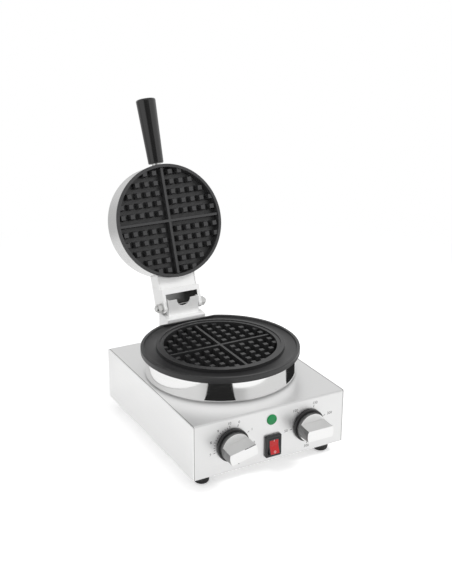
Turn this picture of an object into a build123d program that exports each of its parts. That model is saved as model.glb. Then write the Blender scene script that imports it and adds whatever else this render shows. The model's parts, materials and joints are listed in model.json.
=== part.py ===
from build123d import *
import os
from math import atan2, cos, hypot, radians, sin, sqrt, tan

# Round waffle baker with a hinged lid, in millimetres.
# The origin lies on the worktop, under the centre of the whole object with its lid open.
# +X is to the right, +Y to the rear and +Z up. The lid leans back, open, on its stop.

os.makedirs("parts", exist_ok=True)

# Housing
base_width = 250.0
base_depth = 304.0
base_height = 84.0
sheet = 1.5
bend_radius = 3.0
panel_flange = 12.0
seam = 0.2
foot_radius = 12.0
foot_height = 18.0
foot_inset = 22.0
foot_side_inset = 24.0
foot_taper = 0.8
foot_round = 5.0
foot_seat = 6.0
fit_gap = 0.1
bore_gap = 0.05
bottom_lip = 10.0
foot_screw_radius = 2.5
case_screw_radius = 2.0
case_screw_inset = 7.5
case_screw_spare = 6.5
foot_screw_spare = 6.0
screw_head = 2.0
screw_nut = 1.8
screw_nut_height = 1.5
vent_length = 60.0
vent_width = 5.0
vent_pitch = 16.0
vent_count = 9
gland_across = 70.0
gland_height = 35.0
gland_radius = 8.0
cord_radius = 4.0
gland_thread = 9.0
gland_flange = 5.0
gland_cap = 9.0
terminal_pitch = 10.0
terminal_count = 4
terminal_width = 18.0
terminal_height = 16.0

# Lower plate and its collar
plate_set_back = 2.0
plate_radius = 122.0
plate_cut = 10.0
chord_corner = 12.0
plate_rise = 40.0
rim_height = 9.0
rim_width = 4.5
trough_depth = 4.0
rim_round = 1.5
rim_edge = 1.0
rim_lip = 2.5
trough_wall_lean = 1.2
ridge_wall_lean = 0.6
ridge_width = 11.0
ridge_rise = 2.2
seat_depth = 1.0
seat_play = 1.2
drum_inset = 7.0
drum_cut = 9.5
drum_flange = 9.0
drum_ledge = 3.0
body_inset = 8.0
body_step = 12.0
locating_step = 3.0
floor_thickness = 8.0

# Waffle pattern, the same in both plates
cavity_radius = 87.0
cavity_depth = 14.5
cavity_draft = 4.0
divider_width = 4.0
divider_drop = 2.0
peg_pitch = 16.2
peg_start = 14.0
peg_rows = (5, 5, 4, 3, 2)
peg_top = 7.0
peg_draft = 7.0

# Lid
lid_border = 5.0
lid_rim = 3.5
lid_edge = 1.0
lid_gap = 0.3
shell_inset = 0.5
shell_wall = 1.2
shell_depth = 42.5
shell_edge = 4.0
open_lean = 20.0

# Hinge
pivot_inset = 24.0
pivot_rise = 57.0
rod_radius = 4.0
running_gap = 0.08
bracket_sheet = 2.0
pedestal_half = 34.5
pedestal_gap = 2.0
pedestal_length = 36.0
pedestal_drop = 11.5
pedestal_bend = 3.0
pedestal_flange = 12.0
pedestal_screw_radius = 2.5
pedestal_screw_spare = 4.0
bracket_half = 27.0
bracket_front = 12.0
bracket_top = 15.0
bracket_rear = 12.0
bracket_brow = 8.0
bracket_shoulder = 4.0
bracket_round = 6.0
bracket_flange = 10.0
bracket_screw_radius = 2.0
bracket_screw_step = 4.5
bracket_screw_spare = 4.0
notch_radius = 12.0
arm_half = 33.6
arm_back = 26.0
arm_front = 11.0
arm_end = 8.5
arm_step = 29.0
cut_out_half = 28.2
cut_out_top = 20.6
front_panel_level = 2.5
panel_return = 10.0
arm_screw_radius = 2.0
arm_screw_angle = 13.0
arm_screw_level = -15.0
arm_screw_grip = 3.4
stop_gap = 0.3
spacer_radius = 7.0
spacer_play = 0.2
washer_radius = 8.0
washer_thickness = 1.5
nut_reach = 9.0
pivot_nut_across = 13.0
pivot_nut_height = 6.5

# Handle
handle_level = 20.0
handle_length = 105.5
ferrule_length = 3.5
handle_inner_radius = 12.5
handle_outer_radius = 16.2
ferrule_radius = 7.0
handle_stud_radius = 4.0
handle_stud_grip = 55.0
handle_end_round = 3.0
handle_start_round = 2.0
boss_width = 18.0
boss_length = 14.0
boss_depth = 6.0
boss_wall = 2.0

# Heating parts under each plate
element_radius = 4.0
element_ring = 68.0
element_mouth = 28.0
terminal_reach = 4.0
clamp_thickness = 2.0
clamp_overlap = 14.0
terminal_gap = 84.0
stud_radius = 3.0
stud_ring = 46.0
stud_length = 14.5
stud_skin = 2.0
nut_across = 10.0
nut_height = 5.0
shield_thickness = 1.0
shield_gap = 1.0
shield_notch_width = 90.0
shield_notch_depth = 26.0

# Controls on the front, measured from the middle of the housing's lower edge
knob_share = 0.252
knob_height = 42.0
knob_radius = 22.0
knob_reach = 34.0
knob_grip = 16.5
knob_band = 8.0
ring_radius = 25.0
ring_thickness = 4.0
panel_gap = 0.6
shaft_radius = 3.0
timer_turn = 12.0
knob_edge = 1.0
shaft_grip = 20.0
shaft_depth = 12.0
bush_radius = 4.8
timer_radius = 22.0
timer_depth = 30.0
thermostat_side = 34.0
thermostat_corner = 3.0
thermostat_depth = 28.0
lens_offset = 1.0
lens_height = 65.5
lens_radius = 8.0
lens_reach = 2.5
lens_flange = 0.8
lens_shoulder = 2.0
lens_depth = 6.0
switch_offset = 3.0
switch_height = 24.0
switch_width = 26.0
switch_tall = 34.0
switch_bezel = 4.5
switch_corner = 2.0
switch_border = 2.5
switch_play = 0.5
rocker_width = 17.5
rocker_tall = 25.0
rocker_tilt = 10.0
rocker_lift = 1.5
rocker_back = 2.0
rocker_play = 0.3
pin_radius = 1.5
pin_length = 1.3
pocket_depth = 7.0
switch_depth = 25.0

# Radii, levels and places that follow from the sizes above
plate_chord = plate_radius - plate_cut
pedestal_front = plate_set_back + plate_chord + pedestal_gap
pedestal_rear = pedestal_front + pedestal_length
pivot_set_back = pedestal_front + pivot_inset
drum_radius = plate_radius - drum_inset
drum_chord = drum_radius - drum_cut
body_radius = drum_radius - body_inset
ridge_radius = cavity_radius + ridge_width
lid_radius = cavity_radius + lid_border
seat_radius = lid_radius + seat_play
shell_radius = lid_radius - shell_inset
handle_start = shell_radius + ferrule_length
floor_level = foot_height
top_level = foot_height + base_height
rim_level = top_level + plate_rise
face_level = rim_level + ridge_rise - seat_depth + lid_gap
seat_level = face_level - lid_gap
pivot_level = top_level + pivot_rise
lean = radians(open_lean)
lid_reach = pivot_set_back - plate_set_back
face_offset = pivot_level - face_level
handle_offset = face_offset - handle_level
handle_end = lid_reach + handle_start + handle_length
front_reach = base_depth / 2 + knob_reach
handle_taper = atan2(handle_outer_radius - handle_inner_radius, handle_length)
round_centre = handle_outer_radius - handle_end_round * (1 / cos(handle_taper) + tan(handle_taper))
handle_rear = round_centre * cos(lean) + handle_end_round * (1 - sin(lean))
rear_reach = pivot_set_back + handle_end * sin(lean) - handle_offset * cos(lean) + handle_rear
base_y = (front_reach - rear_reach) / 2
front_y = base_y - base_depth / 2
plate_y = base_y + plate_set_back
pivot_y = base_y + pivot_set_back
half_width = base_width / 2 - sheet - seam / 2
knob_offset = knob_share * base_width
peg_height = cavity_depth - divider_drop

# Planes: the middle section of the lower plate, the lid, the lid's section and the hinge's side view
plate_section = Plane(origin=(0, plate_y, 0), x_dir=(1, 0, 0), z_dir=(0, -1, 0))
plate_axis = Axis((0, plate_y, 0), (0, 0, 1))
lid_plane = Plane(origin=(0, pivot_y, pivot_level), x_dir=(1, 0, 0), z_dir=(0, -cos(lean), sin(lean)))


def lid_point(level):
    """The point on the lid's own axis, at a level above the plane through the pivot."""
    return lid_plane.from_local_coords(Vector(0, lid_reach, level))


lid_centre = lid_point(0)
lid_section = Plane(origin=lid_centre, x_dir=(1, 0, 0), z_dir=-lid_plane.y_dir)
handle_section = Plane(origin=lid_point(handle_offset), x_dir=(1, 0, 0), z_dir=lid_plane.z_dir)
handle_root = Plane(origin=lid_point(handle_offset), x_dir=(1, 0, 0), z_dir=lid_plane.y_dir)
lid_axis = Axis(lid_centre, lid_plane.z_dir)
arm_side = Plane(origin=lid_plane.origin, x_dir=lid_plane.y_dir, z_dir=(1, 0, 0))
front_plane = Plane(origin=(0, front_y, floor_level), x_dir=(1, 0, 0), z_dir=(0, -1, 0))
rear_plane = Plane(origin=(0, base_y + base_depth / 2, floor_level), x_dir=(-1, 0, 0), z_dir=(0, 1, 0))
side_plane = Plane(origin=(0, base_y, floor_level), x_dir=(0, 1, 0), z_dir=(1, 0, 0))


def flat_disc(radius, chord):
    """A disc around the plate's centre, cut straight at the rear, with rounded corners there."""
    with BuildSketch() as disc:
        with Locations((0, plate_y)):
            Circle(radius)
            with Locations((0, chord)):
                Rectangle(2 * radius, radius, align=(Align.CENTER, Align.MIN), mode=Mode.SUBTRACT)
        fillet(disc.vertices().group_by(Axis.Y)[-1], chord_corner)
    return disc.sketch


pedestal_depth = pedestal_rear - pedestal_front
pedestal_middle = base_y + (pedestal_front + pedestal_rear) / 2
pedestal_screw_places = [
    (side * (pedestal_half - bracket_sheet - pedestal_flange / 2), pedestal_middle + step)
    for side in (-1, 1)
    for step in (-pedestal_depth / 4, pedestal_depth / 4)
]
switch_body_width = switch_width - 2 * switch_border
switch_body_tall = switch_tall - 2 * (switch_border + switch_play)


def screws(places, radius, seat, grip, spare, side=1):
    """Round-headed screws from a level upwards, or downwards, each with a nut past its grip."""
    outwards = (Align.CENTER, Align.CENTER, Align.MIN if side > 0 else Align.MAX)
    inwards = (Align.CENTER, Align.CENTER, Align.MAX if side > 0 else Align.MIN)
    with BuildPart() as row:
        with Locations(*[(x, y, seat) for x, y in places]):
            Cylinder(radius, grip + spare, align=outwards)
            Cylinder(screw_head * radius, radius, align=inwards)
        with Locations(*[(x, y, seat + side * grip) for x, y in places]):
            Cylinder(screw_nut * radius, screw_nut_height * radius, align=outwards)
    return row


# Housing: front, top and rear are one folded sheet
def housing_outline(inset, radius):
    """The side view of the housing, with rounded upper corners."""
    half = base_depth / 2 - inset
    top = base_height - inset
    with BuildSketch() as outline:
        with BuildLine():
            FilletPolyline((-half, 0), (-half, top), (half, top), (half, 0), radius=radius)
            Line((half, 0), (-half, 0))
        make_face()
    return outline.sketch


with BuildPart() as base_wrap:
    with BuildSketch(side_plane.offset(-half_width)):
        add(housing_outline(0, bend_radius))
        add(housing_outline(sheet, bend_radius - sheet), mode=Mode.SUBTRACT)
    extrude(amount=2 * half_width)
    with BuildSketch(Plane.XY.offset(top_level)):
        add(flat_disc(drum_radius - drum_flange - drum_ledge, drum_chord - drum_flange - drum_ledge))
    extrude(amount=-2 * sheet, mode=Mode.SUBTRACT)
    with BuildSketch(front_plane):
        with Locations((-knob_offset, knob_height), (knob_offset, knob_height)):
            Circle(bush_radius + 2 * fit_gap)
        with Locations((lens_offset, lens_height)):
            Circle(lens_radius - lens_shoulder + fit_gap)
        with Locations((switch_offset, switch_height)):
            Rectangle(switch_body_width + 2 * switch_play, switch_body_tall + 2 * switch_play)
    extrude(amount=-2 * sheet, mode=Mode.SUBTRACT)
    with BuildSketch(Plane.XY.offset(top_level)):
        with Locations(*pedestal_screw_places):
            Circle(pedestal_screw_radius + fit_gap)
    extrude(amount=-2 * sheet, mode=Mode.SUBTRACT)
    with BuildSketch(rear_plane):
        with Locations((gland_across, gland_height)):
            Circle(gland_radius + fit_gap)
    extrude(amount=-2 * sheet, mode=Mode.SUBTRACT)


def side_panel(side):
    """A flat side with a flange behind the front, the top and the rear of the wrap."""
    outer = side * base_width / 2
    with BuildPart() as panel:
        with BuildSketch(side_plane.offset(outer)):
            add(housing_outline(0, bend_radius))
        extrude(amount=-side * sheet)
        with BuildSketch(side_plane.offset(outer)):
            add(housing_outline(sheet + fit_gap, bend_radius - sheet))
            add(housing_outline(2 * sheet + fit_gap, bend_radius - sheet), mode=Mode.SUBTRACT)
        extrude(amount=-side * panel_flange)
    return panel


side_panel_left = side_panel(-1)
side_panel_right = side_panel(1)

foot_places = [
    (x, base_y + y)
    for x in (-base_width / 2 + foot_side_inset, base_width / 2 - foot_side_inset)
    for y in (-base_depth / 2 + foot_inset, base_depth / 2 - foot_inset)
]
bottom_width = base_width - 2 * sheet - 2 * fit_gap
bottom_depth = base_depth - 2 * (2 * sheet + 2 * fit_gap)
case_screw_places = [
    (x, base_y + y)
    for x in (-base_width / 2 + case_screw_inset, base_width / 2 - case_screw_inset)
    for y in (-base_depth / 4, 0, base_depth / 4)
]

with BuildPart() as bottom_plate:
    with BuildSketch(Plane.XY.offset(floor_level)):
        with Locations((0, base_y)):
            Rectangle(bottom_width, bottom_depth)
            with GridLocations(bottom_width / 2, vent_pitch, 2, vent_count):
                SlotOverall(vent_length, vent_width, mode=Mode.SUBTRACT)
        with Locations(*foot_places):
            Circle(foot_screw_radius + fit_gap, mode=Mode.SUBTRACT)
        with Locations(*case_screw_places):
            Circle(case_screw_radius + fit_gap, mode=Mode.SUBTRACT)
    extrude(amount=sheet)
    with BuildSketch(Plane.XY.offset(floor_level + sheet)):
        with Locations((0, base_y)):
            Rectangle(bottom_width, bottom_depth)
            Rectangle(bottom_width - 2 * sheet, bottom_depth + 1, mode=Mode.SUBTRACT)
            Rectangle(bottom_width + 1, bottom_depth - 2 * panel_flange, mode=Mode.SUBTRACT)
    extrude(amount=bottom_lip)

foot_section = Plane(origin=(0, 0, 0), x_dir=(1, 0, 0), z_dir=(0, -1, 0))
foot_bore = foot_screw_radius + fit_gap
foot_well = screw_head * foot_screw_radius + 5 * fit_gap
foot_side = (foot_radius - foot_taper, foot_round)
foot_edge = (foot_radius - foot_round, 0)
with BuildPart() as foot_shape:
    with BuildSketch(foot_section):
        with BuildLine():
            Polyline(
                foot_edge,
                (foot_well, 0),
                (foot_well, foot_seat),
                (foot_bore, foot_seat),
                (foot_bore, foot_height),
                (foot_radius, foot_height),
                foot_side,
            )
            RadiusArc(foot_side, foot_edge, foot_round)
        make_face()
    revolve(axis=Axis.Z)

foot_names = ("front_left", "rear_left", "front_right", "rear_right")
feet = {}
for foot_name, (x, y) in zip(foot_names, foot_places):
    with BuildPart() as one_foot:
        with Locations((x, y)):
            add(foot_shape.part)
    feet[f"foot_{foot_name}"] = one_foot

foot_screw_grip = foot_height - foot_seat + sheet
foot_screws = screws(foot_places, foot_screw_radius, foot_seat, foot_screw_grip, foot_screw_spare)
case_screws = screws(case_screw_places, case_screw_radius, floor_level, sheet, case_screw_spare)

# Collar under the lower plate: rolled sheet, straight at the rear like the plate
with BuildPart() as lower_drum:
    with BuildSketch(Plane.XY.offset(top_level)):
        add(flat_disc(drum_radius, drum_chord))
        add(flat_disc(drum_radius - sheet, drum_chord - sheet), mode=Mode.SUBTRACT)
    extrude(amount=plate_rise - rim_height)
    with BuildSketch(Plane.XY.offset(top_level)):
        add(flat_disc(drum_radius, drum_chord))
        add(flat_disc(drum_radius - drum_flange, drum_chord - drum_flange), mode=Mode.SUBTRACT)
    extrude(amount=sheet)

# Waffle pattern: a cross of dividers and rows of tapered pegs, standing on the cavity floor
peg_places = [
    (sx * (peg_start + peg_pitch * column), sy * (peg_start + peg_pitch * row))
    for row, count in enumerate(peg_rows)
    for column in range(count)
    for sx in (-1, 1)
    for sy in (-1, 1)
]
peg_base = peg_top + 2 * peg_height * tan(radians(peg_draft))
wall_foot_radius = cavity_radius - cavity_depth * tan(radians(cavity_draft))

with BuildPart() as waffle_grid:
    with BuildSketch():
        with Locations(*peg_places):
            Rectangle(peg_base, peg_base)
    extrude(amount=peg_height, taper=peg_draft)
    divider_base = divider_width + 2 * peg_height * tan(radians(cavity_draft))
    with BuildSketch():
        Rectangle(2 * cavity_radius, divider_base)
        Rectangle(divider_base, 2 * cavity_radius)
    extrude(amount=peg_height, taper=cavity_draft)
    with BuildSketch():
        Circle(wall_foot_radius + 1.5)
    extrude(amount=cavity_depth, mode=Mode.INTERSECT)

trough_outer = plate_radius - rim_width
trough_side = (trough_outer - trough_wall_lean, rim_level - rim_lip)
trough_foot = (ridge_radius + ridge_wall_lean, rim_level - trough_depth + 1)
with BuildPart() as trough:
    with BuildSketch(plate_section):
        with BuildLine():
            Polyline(
                trough_side,
                (trough_outer, rim_level + 1),
                (trough_outer, rim_level + rim_height),
                (ridge_radius, rim_level + rim_height),
                trough_foot,
            )
            ThreePointArc(
                trough_foot,
                (ridge_radius + (trough_outer - ridge_radius) / 3, rim_level - trough_depth),
                trough_side,
            )
        make_face()
    revolve(axis=plate_axis)
    split(
        bisect_by=Plane(origin=(0, plate_y + plate_chord - rim_width, 0), z_dir=(0, 1, 0)),
        keep=Keep.BOTTOM,
    )

lower_floor = seat_level - cavity_depth
lower_under = lower_floor - floor_thickness
lower_under_plane = Plane(origin=(0, plate_y, lower_under), x_dir=(-1, 0, 0), z_dir=(0, 0, -1))

with BuildPart() as lower_plate:
    with BuildSketch(Plane.XY.offset(rim_level - rim_height)):
        add(flat_disc(plate_radius, plate_chord))
    extrude(amount=rim_height)
    fillet(lower_plate.edges().group_by(Axis.Z)[-1], rim_round)
    fillet(lower_plate.edges().group_by(Axis.Z)[0], rim_edge)
    with BuildSketch(Plane.XY.offset(lower_under)):
        with Locations((0, plate_y)):
            Circle(body_radius - body_step)
    extrude(amount=rim_level - lower_under - 1)
    with BuildSketch(Plane.XY.offset(rim_level - rim_height - locating_step)):
        add(flat_disc(body_radius, drum_chord - sheet - bracket_sheet))
    extrude(amount=locating_step + 1)
    with BuildSketch(Plane.XY.offset(rim_level - rim_height + 1)):
        with Locations((0, plate_y)):
            Circle(ridge_radius)
    extrude(amount=rim_height - 1 + ridge_rise)
    add(trough.part, mode=Mode.SUBTRACT)
    with BuildSketch(plate_section):
        with BuildLine():
            Polyline(
                (0, lower_floor),
                (wall_foot_radius, lower_floor),
                (cavity_radius, seat_level),
                (seat_radius, seat_level),
                (seat_radius, seat_level + rim_height),
                (0, seat_level + rim_height),
                close=True,
            )
        make_face()
    revolve(axis=plate_axis, mode=Mode.SUBTRACT)
    with Locations((0, plate_y, lower_floor)):
        add(waffle_grid.part)
    with Locations(lower_under_plane):
        with PolarLocations(stud_ring, 4, start_angle=45):
            Hole(stud_radius + bore_gap, depth=floor_thickness - stud_skin)


# Heating parts, stacked outwards from the underside of either plate
def heating_element(under):
    """A tubular ring, open at the rear, with two terminal ends turned away from the plate."""
    with BuildPart() as element:
        with BuildLine(under.offset(element_radius)) as path:
            CenterArc((0, 0), element_ring, 90 + element_mouth, 360 - 2 * element_mouth)
        with BuildSketch(Plane(origin=path.line @ 0, z_dir=path.line % 0)):
            Circle(element_radius)
        sweep()
        with BuildSketch(under.offset(element_radius)):
            with PolarLocations(element_ring, 2, 90 - element_mouth, 4 * element_mouth):
                Circle(element_radius)
        extrude(amount=element_radius + clamp_thickness + terminal_reach)
    return element


def clamp_plate(under):
    """A sheet ring that presses the element against the plate."""
    with BuildPart() as clamp:
        with BuildSketch(under.offset(2 * element_radius)):
            Circle(element_ring + clamp_overlap)
            Circle(stud_ring - nut_across, mode=Mode.SUBTRACT)
            with PolarLocations(stud_ring, 4, start_angle=45):
                Circle(stud_radius + fit_gap, mode=Mode.SUBTRACT)
            with Locations((0, element_ring - clamp_overlap)):
                Rectangle(terminal_gap, element_ring, align=(Align.CENTER, Align.MIN), mode=Mode.SUBTRACT)
        extrude(amount=clamp_thickness)
    return clamp


def plate_studs(under):
    """Studs screwed into the plate's underside."""
    with BuildPart() as studs:
        with BuildSketch(under.offset(stud_skin - floor_thickness)):
            with PolarLocations(stud_ring, 4, start_angle=45):
                Circle(stud_radius)
        extrude(amount=floor_thickness - stud_skin + stud_length)
    return studs


def plate_nuts(under):
    """Hexagon nuts that hold the clamp ring."""
    with BuildPart() as nuts:
        with BuildSketch(under.offset(2 * element_radius + clamp_thickness)):
            with PolarLocations(stud_ring, 4, start_angle=45):
                RegularPolygon(nut_across / 2, 6, major_radius=False)
                Circle(stud_radius + bore_gap, mode=Mode.SUBTRACT)
        extrude(amount=nut_height)
    return nuts


lower_heating_element = heating_element(lower_under_plane)
lower_clamp_plate = clamp_plate(lower_under_plane)
lower_studs = plate_studs(lower_under_plane)
lower_nuts = plate_nuts(lower_under_plane)

with BuildPart() as lower_heat_shield:
    with BuildSketch(Plane.XY.offset(top_level + sheet)):
        add(flat_disc(drum_radius - sheet - shield_gap, drum_chord - sheet - shield_gap))
        with Locations((0, plate_y + element_ring)):
            Rectangle(shield_notch_width, shield_notch_depth, mode=Mode.SUBTRACT)
        with Locations((0, plate_y)):
            with PolarLocations(stud_ring, 4, start_angle=45):
                Circle(2 * stud_radius + shield_gap, mode=Mode.SUBTRACT)
    extrude(amount=shield_thickness)

# Hinge: a folded pedestal on the housing and a bracket that carries the rod
pedestal_level = pivot_level - pedestal_drop
bracket_feet = [
    (side * (bracket_half - bracket_sheet - bracket_flange / 2), pivot_y + step)
    for side in (-1, 1)
    for step in (-bracket_screw_step, bracket_screw_step)
]

with BuildPart() as hinge_pedestal:
    with BuildSketch(Plane.XY.offset(top_level)):
        with Locations((0, pedestal_middle)):
            Rectangle(2 * pedestal_half, pedestal_depth)
    extrude(amount=pedestal_level - top_level)
    fillet(hinge_pedestal.edges().filter_by(Axis.Z), pedestal_bend)
    fillet(hinge_pedestal.edges().group_by(Axis.Z)[-1], pedestal_bend)
    offset(amount=-bracket_sheet, openings=hinge_pedestal.faces().sort_by(Axis.Z)[0])
    with BuildSketch(Plane.XY.offset(top_level)):
        with Locations((0, pedestal_middle)):
            Rectangle(2 * (pedestal_half - bracket_sheet), pedestal_depth - 4 * bracket_sheet)
            Rectangle(
                2 * (pedestal_half - bracket_sheet - pedestal_flange), pedestal_depth, mode=Mode.SUBTRACT
            )
        with Locations(*pedestal_screw_places):
            Circle(pedestal_screw_radius + fit_gap, mode=Mode.SUBTRACT)
    extrude(amount=bracket_sheet)
    with BuildSketch(Plane.XY.offset(pedestal_level)):
        with Locations(*bracket_feet):
            Circle(bracket_screw_radius + fit_gap)
    extrude(amount=-2 * bracket_sheet, mode=Mode.SUBTRACT)

pedestal_screws = screws(
    pedestal_screw_places,
    pedestal_screw_radius,
    top_level - sheet,
    sheet + bracket_sheet,
    pedestal_screw_spare,
)

bracket_side = Plane(origin=(0, pivot_y, pivot_level), x_dir=(0, 1, 0), z_dir=(1, 0, 0))
notch_plane = Plane(
    origin=(0, pivot_y, pivot_level + bracket_top), x_dir=(1, 0, 0), z_dir=(0, -1, 0)
)

with BuildPart() as hinge_bracket:
    with BuildSketch(bracket_side.offset(-bracket_half)):
        with BuildLine():
            Polyline(
                (-bracket_front, -pedestal_drop),
                (-bracket_front, bracket_top),
                (-bracket_front + bracket_brow, bracket_top),
                (bracket_rear - 1, bracket_shoulder),
                (bracket_rear - 1, -pedestal_drop),
                close=True,
            )
        make_face()
    extrude(amount=2 * bracket_half)
    fillet(hinge_bracket.edges().filter_by(Axis.X).sort_by(Axis.Y)[-3:].sort_by(Axis.Z)[-1], bracket_round)
    with BuildSketch(bracket_side.offset(-bracket_half + bracket_sheet)):
        with Locations((bracket_sheet, 0)):
            Rectangle(2 * bracket_front, 2 * bracket_half)
    extrude(amount=2 * (bracket_half - bracket_sheet), mode=Mode.SUBTRACT)
    with BuildSketch(Plane.XY.offset(pedestal_level)):
        with Locations((0, pivot_y)):
            Rectangle(2 * (bracket_half - bracket_sheet), bracket_front + bracket_rear - 3 * bracket_sheet)
            Rectangle(
                2 * (bracket_half - bracket_sheet - bracket_flange), 2 * bracket_front, mode=Mode.SUBTRACT
            )
        with Locations(*bracket_feet):
            Circle(bracket_screw_radius + fit_gap, mode=Mode.SUBTRACT)
    extrude(amount=bracket_sheet)
    with BuildSketch(bracket_side.offset(-bracket_half)):
        Circle(rod_radius + bore_gap)
    extrude(amount=2 * bracket_half, mode=Mode.SUBTRACT)
    with BuildSketch(notch_plane):
        Circle(notch_radius)
    extrude(amount=bracket_front + 1, mode=Mode.SUBTRACT)

bracket_screws = screws(
    bracket_feet,
    bracket_screw_radius,
    pedestal_level + bracket_sheet,
    2 * bracket_sheet,
    bracket_screw_spare,
    side=-1,
)

with BuildPart() as pivot_rod:
    with BuildSketch(bracket_side.offset(-arm_half - nut_reach)):
        Circle(rod_radius)
    extrude(amount=2 * (arm_half + nut_reach))


def rings_on_rod(radius, start, length):
    """A ring on the rod at the right, from start outwards, and the same at the left."""
    with BuildPart() as pair:
        with BuildSketch(bracket_side.offset(start)):
            Circle(radius)
            Circle(rod_radius + bore_gap, mode=Mode.SUBTRACT)
        extrude(amount=length)
        mirror(about=Plane.YZ)
    return pair


spacer_length = arm_half - bracket_sheet - bracket_half - 2 * spacer_play
pivot_spacers = rings_on_rod(spacer_radius, bracket_half + spacer_play, spacer_length)
pivot_washers = rings_on_rod(washer_radius, arm_half + spacer_play, washer_thickness)
nut_start = arm_half + spacer_play + washer_thickness
dome_section = Plane(origin=(nut_start + pivot_nut_height, pivot_y, pivot_level), z_dir=(0, 0, 1))
dome_radius = pivot_nut_across / 2 - 0.8
dome_height = 0.8 * dome_radius

with BuildPart() as pivot_nuts:
    with BuildSketch(bracket_side.offset(nut_start)):
        RegularPolygon(pivot_nut_across / 2, 6, major_radius=False)
    extrude(amount=pivot_nut_height)
    with BuildSketch(dome_section):
        with BuildLine():
            EllipticalCenterArc((0, 0), dome_height, dome_radius, 0, arc_size=90)
            Polyline((0, dome_radius), (0, 0), (dome_height, 0))
        make_face()
    revolve(axis=Axis((0, pivot_y, pivot_level), (1, 0, 0)))
    with BuildSketch(bracket_side.offset(nut_start)):
        Circle(rod_radius + bore_gap)
    extrude(amount=arm_half + nut_reach - nut_start, mode=Mode.SUBTRACT)
    mirror(about=Plane.YZ)

# Lid: a drawn shell, closed at the back, with the cast plate in its mouth
shell_front = face_offset - lid_rim
shell_back = shell_front - shell_depth
arm_screw_planes = [
    Plane(origin=lid_point(arm_screw_level), z_dir=lid_plane.x_dir * sin(a) - lid_plane.y_dir * cos(a))
    for a in (radians(-arm_screw_angle), radians(arm_screw_angle))
]

with BuildPart() as lid_shell:
    with BuildSketch(lid_section):
        with BuildLine():
            FilletPolyline(
                (0, shell_back),
                (shell_radius, shell_back),
                (shell_radius, shell_front),
                radius=shell_edge,
            )
            Line((shell_radius, shell_front), (shell_radius - shell_wall, shell_front))
            FilletPolyline(
                (shell_radius - shell_wall, shell_front),
                (shell_radius - shell_wall, shell_back + shell_wall),
                (0, shell_back + shell_wall),
                radius=shell_edge - shell_wall,
            )
            Line((0, shell_back + shell_wall), (0, shell_back))
        make_face()
    revolve(axis=lid_axis)
    with BuildSketch(handle_root):
        Circle(handle_stud_radius + fit_gap)
    extrude(amount=shell_radius + shell_edge, mode=Mode.SUBTRACT)
    for plane in arm_screw_planes:
        with BuildSketch(plane):
            Circle(arm_screw_radius + fit_gap)
        extrude(amount=shell_radius + shell_edge, mode=Mode.SUBTRACT)

upper_floor = face_offset - cavity_depth
upper_under = upper_floor - floor_thickness
upper_body_radius = shell_radius - shell_wall - fit_gap
upper_under_plane = Plane(origin=lid_point(upper_under), x_dir=(1, 0, 0), z_dir=-lid_plane.z_dir)

with BuildPart() as upper_plate:
    with BuildSketch(lid_section):
        with BuildLine():
            Polyline(
                (0, upper_floor),
                (wall_foot_radius, upper_floor),
                (cavity_radius, face_offset),
                (lid_radius - lid_edge, face_offset),
                (lid_radius, face_offset - lid_edge),
                (lid_radius, shell_front + fit_gap),
                (upper_body_radius, shell_front + fit_gap),
                (upper_body_radius, upper_under),
                (0, upper_under),
                close=True,
            )
        make_face()
    revolve(axis=lid_axis)
    with BuildSketch(lid_plane.offset(upper_under - boss_depth)):
        with Locations((0, lid_reach)):
            Circle(upper_body_radius)
            Circle(upper_body_radius - boss_length, mode=Mode.SUBTRACT)
            Rectangle(boss_width, shell_radius, align=(Align.CENTER, Align.MIN), mode=Mode.INTERSECT)
    extrude(amount=boss_depth + 1)
    with BuildSketch(handle_root.offset(upper_body_radius - boss_length + boss_wall)):
        Circle(handle_stud_radius + bore_gap)
    extrude(amount=boss_length, mode=Mode.SUBTRACT)
    with Locations(Plane(origin=lid_point(upper_floor), x_dir=(1, 0, 0), z_dir=lid_plane.z_dir)):
        add(waffle_grid.part)
    with Locations(upper_under_plane):
        with PolarLocations(stud_ring, 4, start_angle=45):
            Hole(stud_radius + bore_gap, depth=floor_thickness - stud_skin)

upper_heating_element = heating_element(upper_under_plane)
upper_clamp_plate = clamp_plate(upper_under_plane)
upper_studs = plate_studs(upper_under_plane)
upper_nuts = plate_nuts(upper_under_plane)

with BuildPart() as upper_heat_shield:
    with BuildSketch(lid_plane.offset(shell_back + shell_wall)):
        with Locations((0, lid_reach)):
            Circle(shell_radius - 2 * shell_edge)
    extrude(amount=shield_thickness)

# Hinge arm: one folded channel with two ears, closed at the lid by a curved saddle
arm_clear = pedestal_drop - stop_gap
front_corner = sqrt(arm_clear**2 - arm_front**2)
end_corner = sqrt(arm_clear**2 - arm_end**2)
corner_turn = (atan2(arm_front, -front_corner) + atan2(end_corner, -arm_end)) / 2
chamfer_top = (arm_end * cos(lean) - arm_clear) / sin(lean)
chamfer_foot = (arm_back * sin(lean) - arm_clear) / cos(lean)
arm_inner = arm_half - bracket_sheet

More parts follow.
